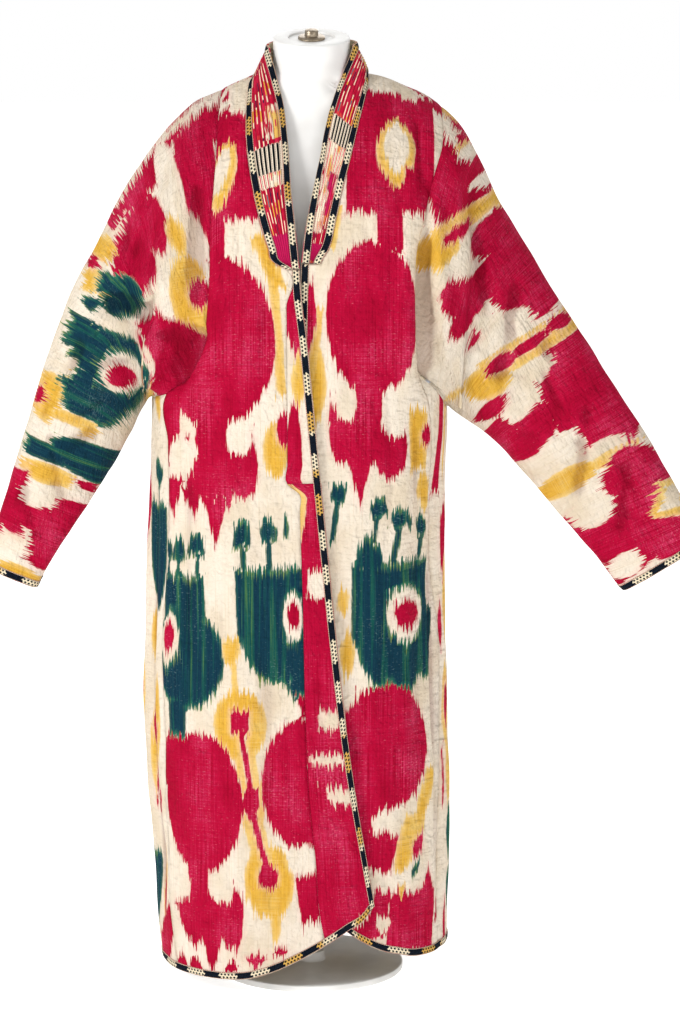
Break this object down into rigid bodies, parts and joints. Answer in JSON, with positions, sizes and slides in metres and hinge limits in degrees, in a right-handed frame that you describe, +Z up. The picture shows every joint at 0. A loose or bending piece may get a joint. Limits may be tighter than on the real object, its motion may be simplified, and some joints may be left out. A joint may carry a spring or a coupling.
{
  "type": "uzbek chapan robe on a dress form",
  "caption": "Long loose ikat coat robe with long sleeves, a quilted collar and patterned braid edges, open at the front, hung on a limbless dress form on a stand",
  "frame": {"origin": "centre of the underside of the stand's base, on the floor", "axes": "+Z up; -Y the robe's front, where it opens; +X to the right as seen from the front, which is the wearer's left"},
  "size_m": [1.0421, 0.3118, 1.3602],
  "materials": {
    "ikat_cloth": "warp ikat cotton and silk cloth, crimson, cream, mustard and deep teal, slightly faded, soft low sheen",
    "collar_cloth": "quilted striped cloth, pink red with short cream, yellow, teal and near black bars",
    "braid": "flat woven braid, near black navy with cream and yellow speckled stars",
    "lining": "plain cream cotton lining with faded brown and grey blue patches",
    "form_white": "smooth white satin shell",
    "form_metal": "turned steel neck fitting",
    "form_stand": "white painted steel"
  },
  "bodies": {
    "root": {"front_left": "ikat_cloth", "front_right": "ikat_cloth", "back_left": "ikat_cloth", "back_right": "ikat_cloth", "gore_left_front": "ikat_cloth", "gore_left_back": "ikat_cloth", "gore_right_front": "ikat_cloth", "gore_right_back": "ikat_cloth", "inset_lower": "ikat_cloth", "inset_upper": "ikat_cloth", "sleeve_left": "ikat_cloth", "sleeve_right": "ikat_cloth", "trim_collar_inner": "braid", "trim_collar_outer": "braid", "trim_cuff_left": "braid", "trim_cuff_right": "braid", "trim_edge_left": "braid", "trim_edge_right": "braid", "trim_hem_left": "braid", "trim_hem_right": "braid", "collar": "collar_cloth", "form_body": "form_white", "form_cap": "form_metal", "form_pole": "form_stand", "form_base": "form_stand"}
  },
  "joints": []
}
